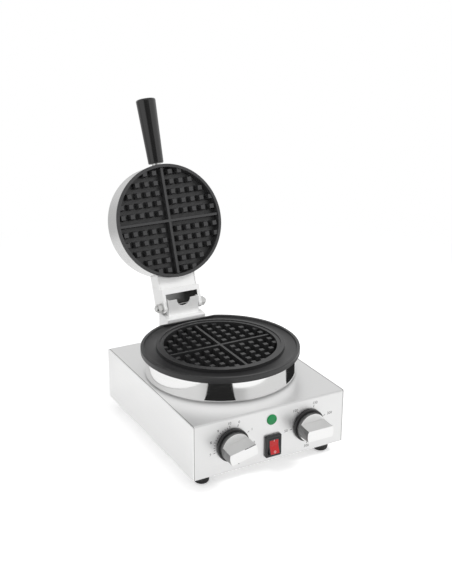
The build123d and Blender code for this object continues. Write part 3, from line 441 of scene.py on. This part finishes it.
def make_finishes(colours, ribs):
    """Every material, by the name of the record's slot or of its own piece."""
    sheet, polished = colours.sheet_steel, colours.polished_steel
    hinge, bright = colours.hinge_steel, colours.bright_metal
    coating = colours.coating
    lid = {"centre": LID_CENTRE, "turn": (LID_TURN, 0, 0)}
    along_x = (LINE_ALONG, LINE_ACROSS, LINE_ACROSS)
    along_y = (LINE_ACROSS, LINE_ALONG, LINE_ACROSS)
    round_z = (LINE_ALONG, LINE_ALONG, LINE_ACROSS)
    return {
        "front_sheet": wrapped("front_sheet", sheet, along_x, 0.38),
        # Painted light: the side panels are a lighter copy of the same brushed sheet
        "side_sheet": brushed("side_sheet", darker(sheet, 1.1), along_y, 0.42),
        # Painted shade: a dark copy of the brushed sheet, for the hinge's hollows and the arm's back
        # web
        "inner_sheet": brushed("inner_sheet", darker(sheet, 0.36), along_x, 0.35),
        "drum_steel": brushed("drum_steel", polished, round_z, 0.12),
        # Painted shade: the lid shell is a darker copy of the drum's polished steel
        "shell_steel": brushed("shell_steel", darker(polished, 0.8), round_z, 0.26, **lid),
        "hinge_steel": brushed("hinge_sheet", hinge, along_x, 0.42, metal=0.25),
        "element_steel": brushed("heater_tube", darker(hinge, 0.5), (0.01, 0.01, 0.002), 0.4),
        # Painted shade: a darker copy of the screws' plated metal, standing for the dark reflections
        # round the nuts' edges
        "bright_fitting": brushed("bright_metal", darker(bright, 0.72), (0.02, 0.001, 0.001), 0.16),
        "rod_steel": bare_on_top("rod_steel", bright, 0.2),
        "steel": brushed("screw_metal", bright, (0.004, 0.004, 0.002), 0.27),
        "silver_knob": brushed("knob_silver", colours.knob, (LINE_ACROSS, 0.03, 0.03), 0.38),
        "knob_side": ribbed("knob_side", colours.knob_side, 0.34, ribs),
        "black_plate": coated("plate_coating", coating, 0.36),
        # Painted light: the lid's plate is a lighter copy of the same coating, for the sheen it
        # loses facing the dark studio
        "lid_plate": coated("lid_coating_painted_lighter", darker(coating, 1.9), 0.36),
        "black_handle": moulded("handle_black", colours.handle, 0.14, 0.000002, 0.3),
        "black_plastic": moulded("fitting_black", colours.plastic, 0.32),
        "foot_rubber": moulded("foot_rubber", colours.rubber, 0.7, 0.00003),
        "green_lens": moulded("lens_green", colours.lens, 0.22, 0.000001),
        "red_rocker": moulded("rocker_red", colours.rocker, 0.25, 0.000002),
        "ink": moulded("dial_ink", colours.ink, 0.5),
        "rocker_ink": moulded("rocker_ink", colours.rocker_ink, 0.5),
    }


def finish_of(node):
    """The name of the finish that a carried-over node has."""
    named = {
        "base_wrap": "front_sheet",
        "bottom_plate": "front_sheet",
        "side_panel_left": "side_sheet",
        "side_panel_right": "side_sheet",
        "lower_drum": "drum_steel",
        "lid_shell": "shell_steel",
        "pivot_rod": "rod_steel",
    }
    return named.get(node, nodes[node].data.materials[0].name)


def cut(shape, place, way):
    """An edge loop where a plane crosses a bmesh."""
    bmesh.ops.bisect_plane(
        shape,
        geom=[*shape.verts, *shape.edges, *shape.faces],
        plane_co=place,
        plane_no=way,
        dist=0.000001,
    )


def rounded(shape, sharpest, radius, segments):
    """The edges of a bmesh that turn by more than some degrees, rounded."""
    bmesh.ops.bevel(
        shape,
        geom=[e for e in shape.edges if e.calc_face_angle(0) > radians(sharpest)],
        offset=radius,
        offset_type="OFFSET",
        affect="EDGES",
        segments=segments,
        profile=0.5,
        material=-1,
        clamp_overlap=True,
    )


def shaped(name, shape, body, finish, limit=35):
    """A bmesh made a piece that rides on a body, smooth where its faces meet gently."""
    for face in shape.faces:
        face.smooth = True
    for edge in shape.edges:
        edge.smooth = edge.calc_face_angle(pi) < radians(limit)
    piece = placed(name, shape, finish)
    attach(piece, body)
    return piece


def placed(name, shape, finish):
    """A bmesh made an object of the scene."""
    mesh = bpy.data.meshes.new(name)
    shape.to_mesh(mesh)
    shape.free()
    mesh.materials.append(finish)
    piece = bpy.data.objects.new(name, mesh)
    bpy.context.scene.collection.objects.link(piece)
    return piece


def shade_flat_faces(piece):
    """A piece's flat faces shaded flat, up to the roundings beside them."""
    weighted = piece.modifiers.new("flat_faces", "WEIGHTED_NORMAL")
    weighted.keep_sharp = True


def merged(node):
    """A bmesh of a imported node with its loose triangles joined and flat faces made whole."""
    shape = bmesh.new()
    shape.from_mesh(nodes[node].data)
    bmesh.ops.remove_doubles(shape, verts=shape.verts, dist=0.000002)
    bmesh.ops.dissolve_limit(shape, angle_limit=radians(0.4), verts=shape.verts, edges=shape.edges)
    return shape


def softened(node, radius, finish, sharpest=30):
    """A piece that stands for a node, with the edges sharper than some degrees rounded."""
    shape = merged(node)
    rounded(shape, sharpest, radius, 2)
    source = nodes[node]
    piece = shaped(node + "_softened", shape, source["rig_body"], finish, 50)
    shade_flat_faces(piece)
    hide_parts(node)
    return piece


def ready_finishes():
    """The materials that the finishes operator made, by name."""
    made = bpy.context.scene.get("waffle_finishes")
    return {name: bpy.data.materials[kept] for name, kept in made.items()}


class WAFFLE_OT_finishes(bpy.types.Operator):
    """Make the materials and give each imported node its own"""

    bl_idname = "waffle.finishes"
    bl_label = "Finishes"

    def execute(self, context):
        made = make_finishes(context.scene.waffle_colours, context.scene.waffle_sizes.rib_count)
        for node, piece in nodes.items():
            finish = made[finish_of(node)]
            piece["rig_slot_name"] = piece.data.materials[0].name
            for place in range(len(piece.data.materials)):
                piece.data.materials[place] = finish
        context.scene["waffle_finishes"] = {name: m.name for name, m in made.items()}
        return {"FINISHED"}


class WAFFLE_OT_castings(bpy.types.Operator):
    """Round the edges of the two cast plates"""

    bl_idname = "waffle.castings"
    bl_label = "Cast plates"

    def execute(self, context):
        edge = context.scene.waffle_sizes.cast_edge
        made = ready_finishes()
        softened("lower_plate", edge, made["black_plate"])
        softened("upper_plate", edge, made["lid_plate"])
        return {"FINISHED"}


class WAFFLE_OT_hinge(bpy.types.Operator):
    """Round the edges of the hinge's folded sheets"""

    bl_idname = "waffle.hinge"
    bl_label = "Hinge sheets"

    def execute(self, context):
        edge = context.scene.waffle_sizes.sheet_edge
        made = ready_finishes()
        web = middle("hinge_arm").y
        for node in ("hinge_pedestal", "hinge_bracket", "hinge_arm", "arm_front_panel"):
            piece = softened(node, edge, made["hinge_steel"])
            piece.data.materials.append(made["inner_sheet"])
            self.shade_inside(piece.data, web)
        return {"FINISHED"}

    def shade_inside(self, mesh, web):
        """Painted shade: the darker finish on faces that look at their own sheet, and on the arm's
        back web.
        """
        corners = [v.co for v in mesh.vertices]
        walls = BVHTree.FromPolygons(corners, [p.vertices for p in mesh.polygons])
        for face in mesh.polygons:
            start = face.center + face.normal * 0.0003
            hidden = walls.ray_cast(start, face.normal, 0.12)[0] is not None
            if hidden or (face.normal.y < -0.5 and face.center.y > web):
                face.material_index = 1


def ink_text(words, height):
    """A flat number or word as a bmesh, centred, in the XY plane."""
    text = bpy.data.curves.new("ink", "FONT")
    text.body = words
    text.size = height * 1.4
    text.align_x = "CENTER"
    text.align_y = "CENTER"
    text.extrude = INK_HALF
    text.resolution_u = 3
    carrier = bpy.data.objects.new("ink", text)
    bpy.context.scene.collection.objects.link(carrier)
    bpy.context.view_layer.update()
    mesh = bpy.data.meshes.new_from_object(carrier)
    bpy.data.objects.remove(carrier)
    bpy.data.curves.remove(text)
    return mesh


def add_mesh(shape, mesh, place):
    """Another mesh put into a bmesh at a place."""
    before = set(shape.verts)
    shape.from_mesh(mesh)
    fresh = [v for v in shape.verts if v not in before]
    bmesh.ops.transform(shape, matrix=place, verts=fresh)


def dial(name, node, numbers, minors, sizes, finish):
    """The ticks and numbers round one knob."""
    low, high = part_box(node)
    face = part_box("base_wrap")[0].y
    centre = Vector(((low.x + high.x) / 2, face, (low.z + high.z) / 2))
    ring = (high.x - low.x) / 2 + sizes.mark_gap
    reach = ring + sizes.tick_long + sizes.mark_height * 0.85
    upright = Matrix.Rotation(radians(90), 4, "X")
    shape = bmesh.new()
    for turn in [*numbers, *minors]:
        size = sizes.tick_long if turn in numbers else sizes.tick_short
        place = (
            Matrix.Translation(centre)
            @ Matrix.Rotation(radians(turn), 4, "Y")
            @ Matrix.Translation((0, 0, ring + size / 2))
            @ Matrix.Diagonal((sizes.tick_width, 2 * sizes.mark_depth, size, 1))
        )
        bmesh.ops.create_cube(shape, size=1, matrix=place)
    for turn, words in numbers.items():
        # A long number stands farther out at the sides, where it would run into its tick
        spread = 1 + 0.045 * len(words) * abs(sin(radians(turn)))
        way = Vector((sin(radians(turn)) * spread, 0, cos(radians(turn))))
        mesh = ink_text(words, sizes.mark_height)
        add_mesh(shape, mesh, Matrix.Translation(centre + way * reach) @ upright)
        bpy.data.meshes.remove(mesh)
    bmesh.ops.remove_doubles(shape, verts=shape.verts, dist=0.000001)
    bmesh.ops.recalc_face_normals(shape, faces=shape.faces)
    return shaped(name, shape, "base", finish)


class WAFFLE_OT_dials(bpy.types.Operator):
    """Print the ticks and numbers round the two knobs"""

    bl_idname = "waffle.dials"
    bl_label = "Dial marks"

    def execute(self, context):
        sizes = context.scene.waffle_sizes
        ink = ready_finishes()["ink"]
        turns = (18, 62, 100, 131, 163, -103, -71, -40, -8)
        minutes = {turn: str(minute) for turn, minute in zip(turns, (0, 1, 2, 3, 4, 7, 8, 9, 10))}
        minors = [-103 + 31.6 * n + step for n in range(3) for step in (7.9, 15.8, 23.7)]
        dial("timer_marks", "timer_ring", minutes, minors, sizes, ink)
        degrees = {-92: "50", -37: "100", 18: "150", 73: "200", 128: "250", 183: "300"}
        dial("temperature_marks", "temperature_ring", degrees, [], sizes, ink)
        return {"FINISHED"}


class WAFFLE_OT_knobs(bpy.types.Operator):
    """Make the two knobs, each a round disc with a bar grip"""

    bl_idname = "waffle.knobs"
    bl_label = "Knobs"

    def execute(self, context):
        sizes = context.scene.waffle_sizes
        self.knob("timer", TIMER_TURN, sizes)
        self.knob("temperature", 0, sizes)
        return {"FINISHED"}

    def knob(self, body, turn, sizes):
        """A disc with an upright bar across it, whose round ends are ribbed like the disc's side."""
        low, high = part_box(body + "_knob")
        radius = (high.x - low.x) / 2
        reach = high.y - low.y - 2 * sizes.knob_play
        half = sizes.grip_width / 2
        root = half + sizes.grip_draft
        shape = bmesh.new()
        bmesh.ops.create_cone(
            shape, cap_ends=True, segments=128, radius1=radius, radius2=radius, depth=reach
        )
        for level in (half, root):
            for side in (-1, 1):
                cut(shape, (0, side * level, 0), (0, 1, 0))
        for vertex in shape.verts:
            if vertex.co.z > 0 and abs(vertex.co.y) > (half + root) / 2:
                vertex.co.z -= reach - sizes.skirt_depth
        bmesh.ops.recalc_face_normals(shape, faces=shape.faces)
        rounded(shape, 38, sizes.moulded_edge, 3)
        side = radius - 1.2 * sizes.moulded_edge
        for face in shape.faces:
            if abs(face.normal.z) < 0.3 and face.calc_center_median().xy.length > side:
                face.material_index = 1
        if turn:
            self.pointer(shape, half, radius * 0.12, sizes)
        place = (
            Matrix.Translation((low + high) / 2)
            @ Matrix.Rotation(-turn, 4, "Y")
            @ Matrix.Rotation(radians(90), 4, "X")
        )
        bmesh.ops.transform(shape, matrix=place, verts=shape.verts)
        made = ready_finishes()
        name = body + "_knob_with_bar"
        piece = shaped(name, shape, body, made["silver_knob"], 40)
        piece.data.materials.append(made["knob_side"])
        piece.data.materials.append(made["ink"])
        shade_flat_faces(piece)
        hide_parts(body + "_knob")

    def pointer(self, shape, half, start, sizes):
        """The dark line along one half of the bar's front edge."""
        inner = half - sizes.pointer_width
        cut(shape, (0, inner, 0), (0, 1, 0))
        cut(shape, (start, 0, 0), (1, 0, 0))
        for face in shape.faces:
            centre = face.calc_center_median()
            in_line = centre.x > start and inner < centre.y < half
            if in_line and face.normal.z > 0.5 and face.material_index == 0:
                face.material_index = 2


class WAFFLE_OT_switch(bpy.types.Operator):
    """Round the switch and print its two marks"""

    bl_idname = "waffle.switch"
    bl_label = "Switch"

    def execute(self, context):
        sizes = context.scene.waffle_sizes
        made = ready_finishes()
        softened("switch_housing", sizes.moulded_edge, made["black_plastic"])
        rocker = softened("power_rocker", sizes.moulded_edge, made["black_plastic"], 12)
        rocker.data.materials.append(made["red_rocker"])
        self.window(rocker, sizes.window_inset)
        self.marks(made["rocker_ink"], sizes.rocker_mark)
        return {"FINISHED"}

    def window(self, rocker, inset):
        """The red window in the rocker's two front faces; the black border left round it is a
        painted shadow of the bezel's rim, narrower at its foot.
        """
        shape = bmesh.new()
        shape.from_mesh(rocker.data)
        low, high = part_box("power_rocker")
        foot = inset * 0.6
        edges = {0: (low.x + inset, high.x - inset), 2: (low.z + foot, high.z - inset)}
        for axis, levels in edges.items():
            way = [float(axis == place) for place in range(3)]
            for level in levels:
                cut(shape, [level] * 3, way)
        for face in shape.faces:
            centre = face.calc_center_median()
            inside = all(first < centre[axis] < last for axis, (first, last) in edges.items())
            if inside and face.normal.y < -0.8:
                face.material_index = 1
        shape.to_mesh(rocker.data)
        shape.free()

    def marks(self, ink, height):
        """The line printed on the rocker's upper face, and the ring on its lower one."""
        faces = merged("power_rocker")
        fronts = sorted(faces.faces, key=lambda f: f.calc_area() * (f.normal.y < -0.9))[-2:]
        shape = bmesh.new()
        for front in fronts:
            centre = front.calc_center_median()
            upper = centre.z > middle("power_rocker").z
            words, away = ("I", 0.0026) if upper else ("O", -0.0031)
            out = front.normal.copy()
            across = Vector((1, 0, 0))
            up = out.cross(across) * (-1 if out.cross(across).z < 0 else 1)
            place = Matrix((across, up, out)).transposed().to_4x4()
            place.translation = centre + up * away + out * INK_HALF
            mesh = ink_text(words, height)
            add_mesh(shape, mesh, place)
            bpy.data.meshes.remove(mesh)
        faces.free()
        shaped("rocker_marks", shape, "rocker", ink)


class WAFFLE_OT_stage(bpy.types.Operator):
    """Lay the floor, light it and stand the camera"""

    bl_idname = "waffle.stage"
    bl_label = "Studio"

    def execute(self, context):
        studio = context.scene.waffle_studio
        self.floor()
        self.world(studio)
        self.lamps(studio)
        self.flags(studio)
        self.camera(studio)
        view = context.scene.view_settings
        view.view_transform = "Standard"
        return {"FINISHED"}

    def floor(self):
        """White paper that keeps the shadow near the object and fades to plain white."""
        paper = material("paper")
        looked, mirrored = (
            paper.node("ShaderNodeLightPath", out=ray) for ray in ("Is Camera Ray", "Is Glossy Ray")
        )
        # Near the object: lit paper, with some light of its own that only these two rays see
        seen = looked.sum("MAXIMUM", looked, mirrored)
        cloth = paper.node("ShaderNodeBsdfDiffuse", values={"Color": (0.88, 0.88, 0.88, 1)})
        shine = paper.glow(looked * 0.45 + mirrored * 0.26)
        near = paper.node("ShaderNodeAddShader", values={0: cloth, 1: shine})
        # Farther out: plain white, which metal sees greyer behind the object
        length_of = {"operation": "LENGTH"}
        away = paper.node("ShaderNodeVectorMath", length_of, {0: paper.place()}, "Value")
        far = paper.fade(away, 0.35, 1.1)
        [back] = paper.parts(paper.place(), "Y")
        behind = paper.fade(back, 0.3, 0.9) * (1 - looked)
        white = paper.glow(1 - behind * 0.35)
        both = paper.node("ShaderNodeMixShader", values={0: far * seen, 1: near, 2: white})
        paper.node("ShaderNodeOutputMaterial", values={"Surface": both})
        shape = bmesh.new()
        bmesh.ops.create_grid(shape, x_segments=1, y_segments=1, size=40)
        piece = placed("floor", shape, paper.owner)

    def world(self, studio):
        """White behind everything. Metal sees it greyer overhead and behind, and dark ahead."""
        sky = Finish(bpy.data.worlds.new("studio"))
        seen, *mirrored = [
            sky.node("ShaderNodeLightPath", out=ray)
            for ray in ("Is Camera Ray", "Is Glossy Ray", "Is Transmission Ray")
        ]
        shown = mirrored[0].sum("MAXIMUM", *mirrored)
        across, back, up = sky.parts(sky.node("ShaderNodeTexCoord", out="Generated"), "XYZ")
        # What metal sees: white, less some overhead and behind, and less most of it ahead
        bright = 1 - sky.fade(up, 0.45, 0.8) * 0.28 - sky.fade(back, 0.3, 0.8) * 0.18
        ahead = sky.fade(back, -0.5, -0.7) * sky.fade(across, 0.25, 0.1)
        level = sky.fade(up, 0.05, 0.14) * sky.fade(up, 0.5, 0.4)
        metal_sees = bright * (1 - ahead * level * 0.85)
        glow = seen + (1 - seen) * (shown * metal_sees + (1 - shown) * studio.sky)
        light = sky.node("ShaderNodeBackground", values={"Color": (1, 1, 1, 1), "Strength": glow})
        sky.node("ShaderNodeOutputWorld", values={"Surface": light})
        bpy.context.scene.world = sky.owner

    def lamps(self, studio):
        """Two soft lamps, which metal doesn't show."""
        for name, place, size, power in (
            ("key_lamp", (1.1, -0.9, 1.6), 0.7, studio.key),
            ("fill_lamp", (-1.4, -0.8, 1.1), 1.2, studio.fill),
        ):
            lamp = bpy.data.lights.new(name, "AREA")
            lamp.shape = "DISK"
            lamp.size = size
            lamp.energy = power
            piece = bpy.data.objects.new(name, lamp)
            aim = (Vector((0, 0, 0.2)) - Vector(place)).to_track_quat("-Z", "Y")
            piece.matrix_world = Matrix.Translation(place) @ aim.to_matrix().to_4x4()
            piece.visible_glossy = False
            bpy.context.scene.collection.objects.link(piece)

    def flags(self, studio):
        """Flags that only metal shows: the drum's dark bands, and the shade at its foot."""
        low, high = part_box("lower_drum")
        radius = (high.x - low.x) / 2
        foot = Vector((0, low.y + radius, low.z + FLAG_LIFT))
        black = material("dark_flag").one_sided(0.02)
        for name, (near, far) in DRUM_BANDS.items():
            shape = bmesh.new()
            corners = [
                shape.verts.new(foot + self.mirrored_from(way, studio.turn, radius, away))
                for ways, away in ((near, FLAG_GAP), (reversed(far), BAND_REACH))
                for way in ways
            ]
            face = shape.faces.new(corners)
            face.normal_update()
            if face.normal.z < 0:
                face.normal_flip()
            self.mirrored_only(name, shape, black)
        # A glowing wall round the drum, a millimetre shorter at each end, for the sheet to mirror: a
        # painted reflection of the drum, with painted contact shade at its foot
        ring = material("painted_drum_reflection")
        [up] = ring.parts(ring.place(), "Z")
        shade = ring.fade(up, low.z + 0.002, low.z + 0.012) * 0.95 + 0.15
        depth = high.z - low.z - 0.002
        shape = bmesh.new()
        bmesh.ops.create_cone(
            shape,
            cap_ends=False,
            segments=128,
            radius1=radius + 0.0005,
            radius2=radius + 0.0005,
            depth=depth,
            matrix=Matrix.Translation((0, foot.y, low.z + 0.001 + depth / 2)),
        )
        self.mirrored_only("flag_ring", shape, ring.one_sided(shade))

    def mirrored_from(self, way, camera, radius, away):
        """Where a ray goes that the camera sees in a round wall and that leaves it some way."""
        way = radians(way)
        turn = (way + camera) / 2
        wall = Vector((sin(turn), -cos(turn), 0)) * radius
        return wall + Vector((sin(way), -cos(way), 0)) * away

    def mirrored_only(self, name, shape, finish):
        """A stage piece that is only seen in metal."""
        piece = placed(name, shape, finish)
        piece.visible_camera = False
        piece.visible_diffuse = False
        piece.visible_transmission = False
        piece.visible_shadow = False

    def camera(self, studio):
        """The camera, turned about its target and rolled a little."""
        target = Vector((studio.aim_across, middle("base_wrap").y, studio.aim_level))
        level = cos(studio.lift)
        back = Vector((sin(studio.turn) * level, -cos(studio.turn) * level, sin(studio.lift)))
        right = Vector((0, 0, 1)).cross(back).normalized()
        axes = Matrix((right, back.cross(right), back)).transposed().to_4x4()
        lens = bpy.data.cameras.new("camera")
        lens.lens = studio.lens
        lens.sensor_width = 36
        piece = bpy.data.objects.new("camera", lens)
        place = Matrix.Translation(target + back * studio.distance)
        piece.matrix_world = place @ axes @ Matrix.Rotation(studio.roll, 4, "Z")
        bpy.context.scene.collection.objects.link(piece)
        bpy.context.scene.camera = piece


class WAFFLE_PT_panel(bpy.types.Panel):
    """The steps that dress the waffle maker"""

    bl_label = "Waffle Maker"
    bl_idname = "WAFFLE_PT_panel"
    bl_space_type = "VIEW_3D"
    bl_region_type = "UI"
    bl_category = "Waffle Maker"

    def draw(self, context):
        scene = context.scene
        for step in steps:
            self.layout.operator(step.bl_idname)
        for group in (scene.waffle_colours, scene.waffle_sizes, scene.waffle_studio):
            column = self.layout.column()
            for name in group.__annotations__:
                column.prop(group, name)


steps = (
    WAFFLE_OT_stage,
    WAFFLE_OT_finishes,
    WAFFLE_OT_castings,
    WAFFLE_OT_hinge,
    WAFFLE_OT_knobs,
    WAFFLE_OT_dials,
    WAFFLE_OT_switch,
)
groups = {
    "waffle_colours": WaffleColours,
    "waffle_sizes": WaffleSizes,
    "waffle_studio": WaffleStudio,
}


def register():
    for kind in (*groups.values(), *steps, WAFFLE_PT_panel):
        bpy.utils.register_class(kind)
    for name, group in groups.items():
        setattr(bpy.types.Scene, name, PointerProperty(type=group))


def unregister():
    for name in groups:
        delattr(bpy.types.Scene, name)
    for kind in reversed((*groups.values(), *steps, WAFFLE_PT_panel)):
        bpy.utils.unregister_class(kind)


def main():
    register()
    bpy.ops.waffle.stage()
    bpy.ops.waffle.finishes()
    bpy.ops.waffle.castings()
    bpy.ops.waffle.hinge()
    bpy.ops.waffle.knobs()
    bpy.ops.waffle.dials()
    bpy.ops.waffle.switch()
    for piece in bpy.context.scene.objects:
        if piece.type == "MESH" and "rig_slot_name" in piece:
            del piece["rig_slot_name"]


if __name__ == "__main__":
    main()
